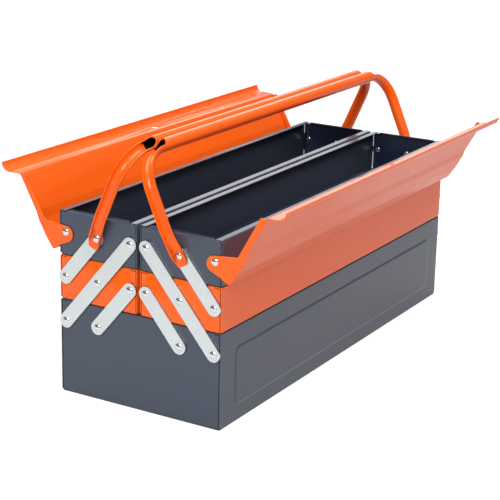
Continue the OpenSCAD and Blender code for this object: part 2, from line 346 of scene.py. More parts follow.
# %% Tray channel
RIM, FOLD_R, SEAM, FLOOR_BACK = 7.5, 1.4, 0.8, 0.1


def tray_channel(name, y0, y1, floor_z, top):
    profile = rounded([
        ((y0 + RIM, top), 0),
        ((y0, top), FOLD_R),
        ((y0, floor_z), FOLD_R),
        ((y1, floor_z), FOLD_R),
        ((y1, top), FOLD_R),
        ((y1 - RIM, top), 0),
    ])
    obj = draw(name, [(-WALL_X, y, z) for y, z in profile])
    sweep((2 * WALL_X, 0, 0))
    for side in (-1, 1):
        pick(obj, "VERT", lambda v: near(v.co.z, floor_z) and v.co.x * side > 0)
        bpy.ops.transform.translate(value=(-side * (FOLD_R + FLOOR_BACK), 0, 0))
    finish_edit()
    print(f"{name}: a sheet {path_length(profile):.1f} mm wide, folded four times")
    return obj


# %% [markdown]
# The embossed panel stiffens the long walls of the base. A punch leaves a soft ramp, not a step,
# so the wall's face is cut out, a plane with rounded corners takes its place, and a run of insets
# lifts its middle along an S-curve. Filling between the two outlines closes the wall again.

# %% Embossed panel
PANEL_X, PANEL_LOW, PANEL_HIGH, PANEL_R = 237.0, 17.0, 84.0, 10.0
PANEL_RAISE, RAMP_RUN, RAMP_STEPS = 1.0, 4.2, 8


def emboss(obj, side):
    edit(obj)
    wall_y = side * WALL_Y
    pick(obj, "FACE", lambda f: near(f.calc_center_median().y, wall_y) and abs(f.normal.y) > 0.99)
    bpy.ops.mesh.delete(type="ONLY_FACE")
    middle = (PANEL_LOW + PANEL_HIGH) / 2
    bpy.ops.mesh.select_mode(type="VERT")
    bpy.ops.mesh.select_all(action="DESELECT")
    bpy.ops.mesh.primitive_plane_add(size=1, location=(0, wall_y, middle),
                                     rotation=(side * -math.pi / 2, 0, 0))
    bpy.ops.transform.resize(value=(2 * PANEL_X, 1, PANEL_HIGH - PANEL_LOW),
                             center_override=(0, wall_y, middle))
    bpy.ops.mesh.bevel(offset=PANEL_R, segments=10, affect="VERTICES")
    bpy.ops.mesh.select_mode(type="FACE")
    height = 0.0
    for step in range(1, RAMP_STEPS + 1):
        rise = PANEL_RAISE * (1 - math.cos(math.pi * step / RAMP_STEPS)) / 2
        bpy.ops.mesh.inset(thickness=RAMP_RUN / RAMP_STEPS, depth=rise - height)
        height = rise
    open_edges = pick(obj, "EDGE", lambda e: len(e.link_faces) < 2
                      and both_ends(e, lambda p: near(p.y, wall_y)))
    bpy.ops.mesh.fill(use_beauty=True)
    finish_edit()
    print(f"panel raised {height:.1f} mm, {open_edges} edges filled around it")


# %% [markdown]
# The end plate starts as a line along the floor's end and is extruded out and up to its top fold.
# Only its middle part goes on: into a flat rim on the base and middle trays, and a leaning hem
# with mitred ends on the top trays. A small notch frees each end of the fold, as on a real blank,
# and the outer strips end below the long rims. Each fold is one bevelled edge, so its radius is
# one number.

# %% End plate sizes
HEM, HEM_LEAN, HEM_FOLD, HEM_FOLD_R, HEM_MARGIN = 4.6, math.radians(60), 1.4, 0.9, 8.0
END_RIM, RIM_GAP, NOTCH = 6.0, 0.3, 0.5
END_FOLD_R = FOLD_R - 0.02
print(f"the hem leans in by {HEM * math.sin(HEM_LEAN):.1f} mm")


def inner_edges(z, low=-math.inf, high=math.inf):
    """A test for the edges along a fold of the end plate, between two places on Y."""
    return lambda e: not e.is_boundary and both_ends(
        e, lambda p: near(p.z, z) and near(p.x, WALL_X) and low - 0.1 < p.y < high + 0.1)


def top_edges(z, low, high):
    """A test for the edges along the plate's top, between two places on Y."""
    return lambda e: both_ends(e, lambda p: near(p.z, z) and low - 0.01 < p.y < high + 0.01)


# %% End plate
def end_plate(name, y0, y1, floor_z, top, hemmed):
    side_gap = SHEET + SEAM
    margin = HEM_MARGIN if hemmed else RIM + RIM_GAP
    stops = [y0 + side_gap, y0 + margin - NOTCH, y0 + margin]
    stops += [y0 + y1 - y for y in reversed(stops)]
    fold_z = top - HEM_FOLD
    obj = draw(name, [(WALL_X - FOLD_R, y, floor_z) for y in stops])
    sweep((FOLD_R, 0, 0))
    stretch((0, 0, fold_z - floor_z))
    for low, high in ((stops[0], stops[1]), (stops[4], stops[5])):
        pick(obj, "EDGE", top_edges(fold_z, low, high))
        bpy.ops.transform.translate(value=(0, 0, HEM_FOLD - SHEET - SEAM))
    pick(obj, "EDGE", top_edges(fold_z, stops[2], stops[3]))
    if hemmed:
        stretch((-HEM * math.sin(HEM_LEAN), 0, HEM * math.cos(HEM_LEAN)))
    else:
        stretch((0, 0, HEM_FOLD))
        stretch((-END_RIM, 0, 0))
    length, mitre = stops[3] - stops[2], HEM if hemmed else END_RIM
    bpy.ops.transform.resize(value=(1, (length - 2 * mitre) / length, 1),
                             center_override=(WALL_X, (y0 + y1) / 2, top))
    pick(obj, "EDGE", inner_edges(fold_z if hemmed else top, stops[2], stops[3]))
    bpy.ops.mesh.bevel(offset=HEM_FOLD_R if hemmed else FOLD_R, segments=4, affect="EDGES")
    pick(obj, "EDGE", inner_edges(floor_z))
    bpy.ops.mesh.bevel(offset=END_FOLD_R, segments=4, affect="EDGES")
    finish_edit()
    face_outwards(obj, lambda f: near(f.calc_center_median().x, WALL_X), (1, 0, 0))
    thicken(obj, SHEET)
    return obj


# %% [markdown]
# A round punch relieves each bottom corner before folding, so that the sheets don't bulge there.
# The front trays are modelled, and the rear ones are their mirror images.

# %% Whole trays
CORNER_PUNCH_R, CORNER_PUNCH_DEPTH, TRAY_EDGE = 2.0, 4.0, 0.3


def tray(name, y0, y1, floor_z, height, hemmed=False, panel=False):
    top = floor_z + height
    obj = tray_channel(name, y0, y1, floor_z, top)
    if panel:
        emboss(obj, -1)
        emboss(obj, 1)
    face_outwards(obj, lambda f: near(f.calc_center_median().z, floor_z), (0, 0, -1))
    thicken(obj, SHEET)
    for x in (-WALL_X, WALL_X):
        for y in (y0, y1):
            punch(obj, CORNER_PUNCH_R, CORNER_PUNCH_DEPTH, (x, y, floor_z))
    right = end_plate(name + "_end", y0, y1, floor_z, top, hemmed)
    left = mirrored_copy(right, name + "_left_end", "X")
    join(obj, right, left)
    break_edges(obj, TRAY_EDGE, segments=3)
    smooth(obj)
    return obj


place(tray("base_tray", -WALL_Y, WALL_Y, 0, BASE_TOP, panel=True), "base_tray")
for level, floor_z, hemmed in (("middle", MIDDLE_FLOOR, False), ("top", TOP_FLOOR, True)):
    front = tray(f"front_{level}_tray", -WALL_Y, -CENTRE_Y, floor_z, TRAY_HEIGHT, hemmed)
    rear = mirrored_copy(front, f"rear_{level}_tray", "Y")
    place(front, f"front_{level}_tray")
    place(rear, f"rear_{level}_tray")

# %% [markdown]
# ## Lids
#
# A lid is one pressed sheet: a skirt, a gently sloping strip, a flat band, a joggle down to the
# main panel, and a lip that rises where the two lids meet and ends in a rolled edge. Subdividing
# a plane could give the same soft bends, but a drawn profile keeps each of them at its own radius.
# All of it is measured across the lid, from the skirt inwards and from the lip's fold upwards.

# %% Lid profile sizes
LID_TOP, STEP_RISE = 205.833, 1.5
SKIRT_Y, SKIRT_LOW, SKIRT_TOP, SKIRT_R = -103.2, 195.70, 205.533, 2.2
SLOPE_RUN, SLOPE_R, BAND_RUN, JOGGLE_RUN, JOGGLE_R = 17.0, 8.0, 18.0, 9.0, 5.0
FOLD_Y, LIP_FOLD_R, LIP_RISE, LIP_RUN, LIP_LAP = 16.4, 1.6, math.radians(61), 11.5, 3.0
ROLL_R, ROLL_STEPS = 9.5, 12


def circle_point(centre, radius, angle):
    return Vector(centre) + radius * Vector((math.cos(angle), math.sin(angle)))


# %% Lid profile
def lid_panel():
    """The outer surface from the skirt's edge to the start of the fold at the lip."""
    band = SKIRT_Y + SLOPE_RUN
    joggle = band + BAND_RUN
    return rounded([
        ((SKIRT_Y, SKIRT_LOW), 0),
        ((SKIRT_Y, SKIRT_TOP), SKIRT_R),
        ((band, LID_TOP + STEP_RISE), SLOPE_R),
        ((joggle, LID_TOP + STEP_RISE), JOGGLE_R),
        ((joggle + JOGGLE_RUN, LID_TOP), JOGGLE_R),
        ((-FOLD_Y - LIP_FOLD_R, LID_TOP), 0),
    ])


def lid_lip(run):
    """The outer surface of the lip: its fold, its straight rise and the rolled edge."""
    rise = Vector((math.cos(LIP_RISE), math.sin(LIP_RISE)))
    foot = Vector((-FOLD_Y, LID_TOP))
    start = foot + run * rise
    before = foot - Vector((LIP_FOLD_R, 0))
    bend = rounded([(before, 0), (foot, LIP_FOLD_R), (start, 0)])[1:-1]
    centre = start + ROLL_R * Vector((rise.y, -rise.x))
    first = math.pi / 2 + LIP_RISE
    return bend + [
        circle_point(centre, ROLL_R, first - math.pi / 2 * i / ROLL_STEPS)
        for i in range(ROLL_STEPS + 1)
    ]


print(f"lid sheet {path_length(lid_panel() + lid_lip(LIP_RUN)):.1f} mm wide before pressing")

# %% [markdown]
# At each end of the lid a flange folds down and carries the ear that turns on the rivet. It has
# the lid's own profile on top, so its outline is that profile, run back along the flange and
# round the ear. The ear is an arc about its rivet, with a tangent up to the flange.

# %% Lid end outline
EAR_AT, EAR_R, EAR_STEPS = (-94.3, 180.7), 8.9, 18
EAR_NECK, EAR_NECK_R = (-71.2, 198.833), 2.5
FLANGE_DROP, FLANGE_LEAN, FLANGE_R = 7.0, 2.0, 1.5


def tangent(point, centre, radius, side):
    """Where a line from a point touches a circle."""
    to_point = Vector(point) - Vector(centre)
    turn = math.atan2(to_point.y, to_point.x) + side * math.acos(radius / to_point.length)
    return circle_point(centre, radius, turn)


def end_outline(panel):
    """The outline of the end flange and its ear, starting with the panel's profile."""
    touch = tangent(EAR_NECK, EAR_AT, EAR_R, -1)
    first = math.atan2(touch.y - EAR_AT[1], touch.x - EAR_AT[0])
    ear = [
        circle_point(EAR_AT, EAR_R, first + (-math.pi - first) * i / EAR_STEPS)
        for i in range(EAR_STEPS + 1)
    ]
    flange_y = -FOLD_Y - LIP_FOLD_R
    rim = rounded([
        ((flange_y, LID_TOP), 0),
        ((flange_y, LID_TOP - SHEET), 0),
        ((flange_y - FLANGE_LEAN, LID_TOP - FLANGE_DROP), FLANGE_R),
        (EAR_NECK, EAR_NECK_R),
        (tuple(ear[0]), 0),
    ])
    return panel + rim[1:-1] + ear


print(len(end_outline(lid_panel())), "points around a lid's end")

# %% [markdown]
# The profile is swept from the middle to one end, the flange is filled in as one face, the fold
# between them is bevelled, and a Mirror makes the other half. The lips' padlock holes line up
# when both lids are shut, and the rear lip laps over the front one, so its hole sits higher. The
# lid is drawn shut and then turned open about its rivets.

# %% Lids
LID_X, LID_FOLD_R, LID_EDGE = LINK_X + SHEET, 1.3, 0.4
LID_OPEN = math.radians(119)
PADLOCK_R, PADLOCK_UP, PADLOCK_PUNCH_DEPTH = 5.2, 6.0, 6.0


def lid(name, run, hole_up):
    panel = lid_panel()
    obj = draw(name, [(0, y, z) for y, z in panel + lid_lip(run)])
    sweep((LID_X, 0, 0))
    finish_edit()
    plate = draw(name + "_end", [(LID_X, y, z) for y, z in end_outline(panel)])
    bpy.ops.mesh.select_all(action="SELECT")
    bpy.ops.mesh.edge_face_add()
    finish_edit()
    join(obj, plate)
    face_outwards(obj, lambda f: near(f.calc_center_median().y, SKIRT_Y), (0, -1, 0))
    edit(obj)
    pick(obj, "EDGE", lambda e: not e.is_boundary and both_ends(e, lambda p: near(p.x, LID_X)))
    bpy.ops.mesh.bevel(offset=LID_FOLD_R, segments=4, affect="EDGES")
    finish_edit()
    apply_modifier(obj, "MIRROR", use_axis=(True, False, False), merge_threshold=0.01)
    face_outwards(obj, lambda f: near(f.calc_center_median().y, SKIRT_Y), (0, -1, 0))
    thicken(obj, SHEET)
    rise = Vector((0, math.cos(LIP_RISE), math.sin(LIP_RISE)))
    hole = Vector((0, -FOLD_Y, LID_TOP)) + rise * hole_up
    punch(obj, PADLOCK_R, PADLOCK_PUNCH_DEPTH, hole, rotation=(LIP_RISE, 0, 0), vertices=48)
    break_edges(obj, LID_EDGE, segments=3)
    smooth(obj)
    pivot = Matrix.Translation((0, -OUTER_COLUMN, TOP_ROW))
    obj.data.transform(pivot @ Matrix.Rotation(LID_OPEN, 4, "X") @ pivot.inverted())
    return obj


place(lid("front_lid", LIP_RUN, PADLOCK_UP), "front_lid")
rear_shape = lid("rear_shape", LIP_RUN + LIP_LAP, PADLOCK_UP + LIP_LAP)
place(mirrored_copy(rear_shape, "rear_lid", "Y"), "rear_lid")
bpy.data.objects.remove(rear_shape)

# %% [markdown]
# ## Handles
#
# Each handle is one piece of thin tube. Along the grip the tube is whole. Each end is slit, cut
# on a slant and opened, so the arm is a half-round trough that bends over and ends in a shallow
# foot pressed flat around the rivet. A bevelled curve could give the bend, but it can't change
# from a closed tube to an open trough, so the mesh itself is spun. It is drawn upright with the
# rivet at zero height, and leaned to its place at the end.

# %% Handle sizes
GRIP_R, GRIP_GAP, GRIP_RISE, HANDLE_T, BEND_R = 7.0, 0.6, 100, 1.2, 32.0
GRIP_Y = GRIP_R + GRIP_GAP / 2
LEAN = math.atan2(MIDDLE_COLUMN - GRIP_Y, GRIP_RISE)
REACH = math.hypot(MIDDLE_COLUMN - GRIP_Y, GRIP_RISE)
BACK_OFF = 2.5
ARM_BACK = ARM_X + BACK_OFF
WIDEST = ARM_BACK + GRIP_R
BEND_X, BEND_Z = ARM_BACK - BEND_R, REACH - GRIP_R - BEND_R
SLANT_X, SLANT_RUN = BEND_X - 1, 5.0
print(f"grip {2 * BEND_X:.0f} mm long, {REACH:.1f} mm from its rivets, "
      f"leaning {math.degrees(LEAN):.1f} degrees")

# %% [markdown]
# The foot is what the press leaves when it closes on the end of the trough. Below the taper, the
# flanges get lower, the round bottom turns flat, the back steps in to the link, and the corners
# of the toe are rounded. Each of these is a smooth step over a range of heights, so one function
# that moves one point gives the whole foot.

# %% Pressing the foot
TAPER_HIGH, FOOT_LOW, FOOT_FLANGE, FOOT_CORNER = 29.0, -12.0, 4.0, 4.5
BACK_STEP, FLAT_RUN, TOE_HIGH, TOE_TRIM, FLATNESS = (4, 13), (5, 22), 2, 2.2, 4


def ease(value, low, high):
    """A smooth step from 0 at low to 1 at high."""
    share = min(max((value - low) / (high - low), 0), 1)
    return share * share * (3 - 2 * share)


def press_foot(point):
    """Move one point of the straight half-round trough to its place on the pressed foot."""
    if point.x < BEND_X + 1 or point.z > TAPER_HIGH:
        return
    across = point.y / GRIP_R
    toe = 1 - ease(point.z, FOOT_LOW, TOE_HIGH)
    back = ARM_X + (ARM_BACK - ARM_X) * ease(point.z, *BACK_STEP)
    edge = ARM_X + FOOT_FLANGE
    edge += (WIDEST - edge) * (point.z - FOOT_LOW) / (TAPER_HIGH - FOOT_LOW)
    edge -= TOE_TRIM * toe
    flat = 1 - ease(point.z, *FLAT_RUN)
    turn = math.acos(min(max(across, -1), 1))
    power = 2 / (2 + FLATNESS * flat)
    point.y = GRIP_R * math.copysign(abs(math.cos(turn)) ** power, across)
    point.x = back + (edge - back) * (1 - math.sin(turn) ** power)
    past = max(abs(point.y) - (GRIP_R - FOOT_CORNER), 0)
    point.z += (FOOT_CORNER - math.sqrt(max(FOOT_CORNER ** 2 - past ** 2, 0))) * toe


flattest = Vector((ARM_BACK, GRIP_R / 2, FOOT_LOW))
press_foot(flattest)
print(f"at the toe, half a radius out is pressed to {flattest.y:.1f} mm out")

# %% [markdown]
# The tube starts as a circle that is extruded to the start of the bend. Two bisects mark the
# slanted cut, and the faces beyond it are deleted. What is left of the tube there is its lower
# half, whose open edge is spun round the bend and extruded down the arm in rows that are closest
# where the foot is pressed.

# %% Tube, bend and arm
BEND_STEPS = 16
ARM_ROWS = (60, 50, 40, 33, TAPER_HIGH, 26, 23, 20, 18, 16, 14, 12, 10.5, 9, 7.5, 6, 4, 1, -3, -7,
            -10, FOOT_LOW)


def slit_tube(name):
    """The right half of the grip with its end cut on a slant, open in edit mode."""
    bpy.ops.object.select_all(action="DESELECT")
    bpy.ops.mesh.primitive_circle_add(vertices=40, radius=GRIP_R, location=(0, 0, REACH),
                                      rotation=(0, math.pi / 2, 0))
    obj = bpy.context.active_object
    obj.name = name
    bpy.ops.object.transform_apply(location=True, rotation=True)
    edit(obj)
    sweep((BEND_X, 0, 0))
    bpy.ops.mesh.select_all(action="SELECT")
    bpy.ops.mesh.bisect(plane_co=(SLANT_X, 0, 0), plane_no=(1, 0, 0))
    on_slant, slant = Vector((SLANT_X, 0, REACH)), Vector((GRIP_R, 0, SLANT_RUN))
    pick(obj, "FACE", lambda f: f.calc_center_median().z > REACH)
    bpy.ops.mesh.bisect(plane_co=on_slant, plane_no=slant)
    pick(obj, "FACE", lambda f: f.calc_center_median().z > REACH
         and (f.calc_center_median() - on_slant).dot(slant) > 0)
    bpy.ops.mesh.delete(type="ONLY_FACE")
    bpy.ops.mesh.select_all(action="SELECT")
    bpy.ops.mesh.delete_loose(use_verts=True, use_edges=True, use_faces=False)
    return obj


def spin_and_stretch(obj):
    """Carry the trough round the bend and down to the toe."""
    rows = pick(obj, "EDGE", lambda e: e.is_boundary and both_ends(
        e, lambda p: near(p.x, BEND_X) and p.z < REACH + 0.01))
    bpy.ops.mesh.spin(steps=BEND_STEPS, angle=-math.pi / 2, center=(BEND_X, 0, BEND_Z),
                      axis=(0, 1, 0))
    for above, row in zip((BEND_Z, *ARM_ROWS), ARM_ROWS):
        stretch((0, 0, row - above))
    finish_edit()
    print(f"trough of {rows} strips, {BEND_STEPS} steps round the bend")


# %% [markdown]
# The half is pressed, mirrored and thickened. Solidify leans its new points out a little at an
# open edge, so they are pushed back to the tube's own width. The faces inside each open bore get
# their own material slot, which is painted near-black as the shade inside the tube.

# %% Handles
BORE_SHADE_REACH, HANDLE_EDGE = 10.0, 0.45


def mark_bore(obj):
    """Give the faces inside the bore and round its mouth the second material, the painted shade.
    """
    for face in obj.data.polygons:
        out, height = abs(face.center.x) - BEND_X, face.center.z - BEND_Z
        from_bend = height if out < 0 else math.hypot(out, height)
        off_axis = math.hypot(from_bend - BEND_R - GRIP_R, face.center.y)
        if out < BORE_SHADE_REACH and height > 0 and off_axis < GRIP_R - HANDLE_T:
            face.material_index = 1


def handle(name):
    obj = slit_tube(name)
    spin_and_stretch(obj)
    for vertex in obj.data.vertices:
        press_foot(vertex.co)
    apply_modifier(obj, "MIRROR", use_axis=(True, False, False), merge_threshold=0.01)
    face_outwards(obj, lambda f: f.calc_center_median().z > REACH + 6, (0, 0, 1))
    thicken(obj, HANDLE_T)
    for vertex in obj.data.vertices:
        vertex.co.x = max(-WIDEST, min(vertex.co.x, WIDEST))
    break_edges(obj, HANDLE_EDGE, angle=55, segments=3)
    smooth(obj, 40)
    mark_bore(obj)
    to_rivet = Matrix.Translation((0, -MIDDLE_COLUMN, TOP_ROW))
    obj.data.transform(to_rivet @ Matrix.Rotation(-LEAN, 4, "X"))
    return obj


front_handle = handle("front_handle")
rear_handle = mirrored_copy(front_handle, "rear_handle", "Y")
place(front_handle, "front_handle")
place(rear_handle, "rear_handle")

# %% [markdown]
# ## Links
#
# The links are flat bars with round ends, blanked from plated strip. They could be drawn again,
# but their CAD shape is already exact, so each one is a cleaned copy of its node with the edges
# broken as tumbling leaves them. A CAD mesh is loose triangles, so the copy is merged first.

# %% Links
LINK_EDGE = 0.3


def dressed(node):
    """A copy of a CAD node in millimetres, merged, with its edges broken."""
    bpy.ops.object.select_all(action="DESELECT")
    source = frame["nodes"][node]
    source.select_set(True)
    bpy.context.view_layer.objects.active = source
    bpy.ops.object.duplicate()
    obj = bpy.context.active_object
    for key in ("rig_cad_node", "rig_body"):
        if key in obj:
            del obj[key]
    obj.parent = None
    obj.data.materials.clear()
    obj.data.transform(Matrix.Scale(1 / MM, 4))
    edit(obj)
    bpy.ops.mesh.select_all(action="SELECT")
    bpy.ops.mesh.remove_doubles(threshold=DOUBLES)
    bpy.ops.mesh.dissolve_limited(angle_limit=math.radians(0.5))
    finish_edit()
    break_edges(obj, LINK_EDGE)
    smooth(obj)
    return obj


for node in node_body:
    if node.endswith("_link"):
        place(dressed(node), node)

# %% [markdown]
# ## Rivets
#
# A rivet is turned, so half its outline is drawn and spun once round. The domed head meets the
# link in a small square edge, and the closed end inside the tray is a flatter disc. One rivet is
# modelled for each stack of sheets, and copied to every pivot of its row.

# %% One rivet
SHANK_R, HEAD_R, HEAD_H, HEAD_EDGE, HEAD_AIR = 1.9, 4.1, 1.5, 0.12, 0.1
TAIL_R, TAIL_H, TAIL_CHAMFER = 3.1, 0.9, 0.3
DOME_R = (HEAD_R ** 2 + HEAD_H ** 2) / (2 * HEAD_H)
DOME_STEPS = 12
print(f"the rivet's dome has a radius of {DOME_R:.1f} mm")


def rivet(name, stack_x):
    """One rivet along X on the axis, its head on a stack that ends at stack_x."""
    tail = WALL_X - SHEET - TAIL_H
    head = stack_x + HEAD_AIR
    outline = [(tail, 0), (tail, TAIL_R - TAIL_CHAMFER), (tail + TAIL_CHAMFER, TAIL_R),
               (tail + TAIL_H, TAIL_R), (tail + TAIL_H, SHANK_R), (head, SHANK_R),
               (head, HEAD_R - HEAD_EDGE)]
    half = math.asin(HEAD_R / DOME_R)
    for i in range(DOME_STEPS, -1, -1):
        turn = half * i / DOME_STEPS
        outline.append((head + HEAD_H - DOME_R + DOME_R * math.cos(turn), DOME_R * math.sin(turn)))
    obj = draw(name, [(x, 0, r) for x, r in outline])
    bpy.ops.mesh.select_all(action="SELECT")
    bpy.ops.mesh.spin(steps=40, angle=2 * math.pi, center=(0, 0, 0), axis=(1, 0, 0))
    finish_edit()
    face_outwards(obj, lambda f: f.calc_center_median().x > head + HEAD_H * 0.8, (1, 0, 0))
    smooth(obj, 30)
    return obj


# %% Rows of rivets
def rivet_row(half, kind, columns, z, stack_x):
    side = -1 if half == "front" else 1
    model = rivet(f"{half}_{kind}_rivet", stack_x)
    copies = []
    for column in columns:
        for end in ("right", "left"):
            only(model)
            bpy.ops.object.duplicate()
            copy = bpy.context.active_object
            if end == "left":
                copy.data.transform(Matrix.Diagonal((-1, 1, 1, 1)))
                copy.data.flip_normals()
            copy.data.transform(Matrix.Translation((0, side * column, z)))
            copies.append(copy)
    bpy.data.objects.remove(model)
    place(join(*copies), f"{half}_{kind}_rivets")


for half in ("front", "rear"):
    rivet_row(half, "base", (OUTER_COLUMN, MIDDLE_COLUMN), BASE_ROW, ARM_X)
    rivet_row(half, "middle", (OUTER_COLUMN, MIDDLE_COLUMN, INNER_COLUMN), MIDDLE_ROW, ARM_X)
    rivet_row(half, "top", (INNER_COLUMN,), TOP_ROW, ARM_X)
    rivet_row(half, "lid", (OUTER_COLUMN,), TOP_ROW, LID_X)
    rivet_row(half, "handle", (MIDDLE_COLUMN,), TOP_ROW, ARM_X + HANDLE_T)
print(len(pieces), "pieces")

# %% [markdown]
# ## Paint and plate
#
# Powder coat is a thin plastic skin: a faint orange-peel ripple under a clear gloss, and a tone
# that wanders a little. It could be an image, but noise on Object coordinates needs no unwrapping
# and keeps its size on every piece. Small helpers add and wire the nodes, and each of them takes
# a number, a colour or another node's output for any of its inputs.


# %% Wiring helpers
def feed(tree, value, socket):
    """Link an output to a socket, or set the socket to a plain value."""
    if isinstance(value, bpy.types.NodeSocket):
        tree.links.new(value, socket)
    else:
        socket.default_value = value


def noise(tree, where, scale, detail):
    node = tree.nodes.new("ShaderNodeTexNoise")
    node.inputs["Detail"].default_value = detail
    feed(tree, where, node.inputs["Vector"])
    feed(tree, scale, node.inputs["Scale"])
    return node.outputs["Fac"]


def remap(tree, value, low, high, to_low=0, to_high=1, kind="LINEAR"):
    node = tree.nodes.new("ShaderNodeMapRange")
    node.interpolation_type = kind
    names = ("Value", "From Min", "From Max", "To Min", "To Max")
    for name, given in zip(names, (value, low, high, to_low, to_high)):
        feed(tree, given, node.inputs[name])
    return node.outputs["Result"]


def mixed(tree, share, first, second, kind="MIX"):
    node = tree.nodes.new("ShaderNodeMix")
    node.data_type = "RGBA"
    node.blend_type = kind
    for name, given in (("Factor", share), ("A", first), ("B", second)):
        feed(tree, given, node.inputs[name])
    return node.outputs["Result"]


def maths(tree, kind, *values):
    node = tree.nodes.new("ShaderNodeMath")
    node.operation = kind
    for socket, given in zip(node.inputs, values):
        feed(tree, given, socket)
    return node.outputs["Value"]


# %% [markdown]
# Light also fades where little of it gets in: deep inside a tray, and within a few millimetres
# of every seam, and here that shade is painted into the colour. Ambient Occlusion measures how
# shut in a point is, once over 90 mm with the piece alone and once over 4 mm with its neighbours,
# and each result darkens the colour as painted shade. Inside a tray the painted shade keeps a
# little blue, as the bounced light there does.

# %% Painted shade in hollows and seams
HOLLOW_REACH, HOLLOW_DARK, HOLLOW_CLEAR, HOLLOW_SHADE_TINT = 0.09, 0.45, 0.9, (0.0, 0.06, 0.22, 1)
SEAM_REACH, SEAM_DARK, SEAM_CLEAR, SEAM_SHADE_TINT = 0.004, 0.3, 0.85, (0, 0, 0, 1)


def paint_shade(tree, colour, strength, reach, dark_at, clear_at, tint, own_only):
    """Paint shade into a colour: multiply it by a tint where the surface is shut in."""
    closed = tree.nodes.new("ShaderNodeAmbientOcclusion")
    closed.samples = 8
    closed.only_local = own_only
    closed.inputs["Distance"].default_value = reach
    hidden = remap(tree, closed.outputs["AO"], dark_at, clear_at, 1, 0)
    share = maths(tree, "MULTIPLY", hidden, strength)
    return mixed(tree, share, colour, tint, "MULTIPLY")


# %% [markdown]
# All the finishes share these effects and the painted shade, so they are one node group, placed in
# each material with its own values. It puts out only what changes over the surface: colour with
# its painted shade, roughness and normal.

# %% Shared skin group with painted shade
COLOUR, NUMBER, NORMAL = "NodeSocketColor", "NodeSocketFloat", "NodeSocketVector"
SKIN_INPUTS = (("Colour", COLOUR), ("Second Colour", COLOUR), ("Gloss Low", NUMBER),
               ("Gloss High", NUMBER), ("Ripple Scale", NUMBER), ("Ripple Depth", NUMBER),
               ("Speck Scale", NUMBER), ("Shade Inside", NUMBER), ("Shade In Seams", NUMBER))
SKIN_OUTPUTS = (("Colour", COLOUR), ("Roughness", NUMBER), ("Normal", NORMAL))
CLOUD_SCALE, RIPPLE_HEIGHT = 28, 0.0001


def skin_and_shade_group():
    tree = bpy.data.node_groups.new("coated skin and painted shade", "ShaderNodeTree")
    for name, kind in SKIN_INPUTS:
        tree.interface.new_socket(name, in_out="INPUT", socket_type=kind)
    for name, kind in SKIN_OUTPUTS:
        tree.interface.new_socket(name, in_out="OUTPUT", socket_type=kind)
    given = tree.nodes.new("NodeGroupInput").outputs
    result = tree.nodes.new("NodeGroupOutput").inputs
    where = tree.nodes.new("ShaderNodeTexCoord").outputs["Object"]

    speck = remap(tree, noise(tree, where, given["Speck Scale"], 3), 0.3, 0.7)
    colour = mixed(tree, speck, given["Colour"], given["Second Colour"])
    # Painted shade deep inside a tray, then painted shade within a few millimetres of each seam.
    colour = paint_shade(tree, colour, given["Shade Inside"], HOLLOW_REACH, HOLLOW_DARK, HOLLOW_CLEAR,
                    HOLLOW_SHADE_TINT, True)
    colour = paint_shade(tree, colour, given["Shade In Seams"], SEAM_REACH, SEAM_DARK, SEAM_CLEAR,
                    SEAM_SHADE_TINT, False)
    tree.links.new(colour, result["Colour"])

    cloud = noise(tree, where, CLOUD_SCALE, 4)
    gloss = remap(tree, cloud, 0.2, 0.8, given["Gloss Low"], given["Gloss High"], "SMOOTHSTEP")
    tree.links.new(gloss, result["Roughness"])

    bump = tree.nodes.new("ShaderNodeBump")
    bump.inputs["Distance"].default_value = RIPPLE_HEIGHT
    tree.links.new(noise(tree, where, given["Ripple Scale"], 2), bump.inputs["Height"])
    tree.links.new(given["Ripple Depth"], bump.inputs["Strength"])
    tree.links.new(bump.outputs["Normal"], result["Normal"])
    return tree


skin_and_painted_shade = skin_and_shade_group()
print("coated skin and painted shade:", len(skin_and_painted_shade.nodes), "nodes")


# %% [markdown]
# Each finish is the group under one Principled shader. The orange is a saturated yellow-orange
# under a clear coat, the slate a dark blue-grey with a thinner one. The zinc is a bright metal
# with a fine grain, and the rivets are the same plate, polished by the rivet set.


# %% Materials
# inside and seams set how strongly the group paints shade into the colour, in hollows and at
# seams.
def skinned(name, first, second, gloss, ripple, speck, metallic=0.0, specular=0.5, coat=0.0,
            sheen=0.0, inside=0.0, seams=0.0):
    material = bpy.data.materials.new(name)
    material.use_nodes = True
    nodes, links = material.node_tree.nodes, material.node_tree.links
    shader = nodes["Principled BSDF"]
    skin = nodes.new("ShaderNodeGroup")
    skin.node_tree = skin_and_painted_shade
    values = ((*first, 1), (*second, 1), *gloss, *ripple, speck, inside, seams)
    for (socket, _), value in zip(SKIN_INPUTS, values):
        skin.inputs[socket].default_value = value
    links.new(skin.outputs["Colour"], shader.inputs["Base Color"])
    links.new(skin.outputs["Roughness"], shader.inputs["Roughness"])
    links.new(skin.outputs["Normal"], shader.inputs["Normal"])
    shader.inputs["Metallic"].default_value = metallic
    shader.inputs["Specular IOR Level"].default_value = specular
    shader.inputs["Coat Weight"].default_value = coat
    shader.inputs["Coat Roughness"].default_value = 0.03
    shader.inputs["Sheen Weight"].default_value = sheen
    shader.inputs["Sheen Roughness"].default_value = 0.35
    return material


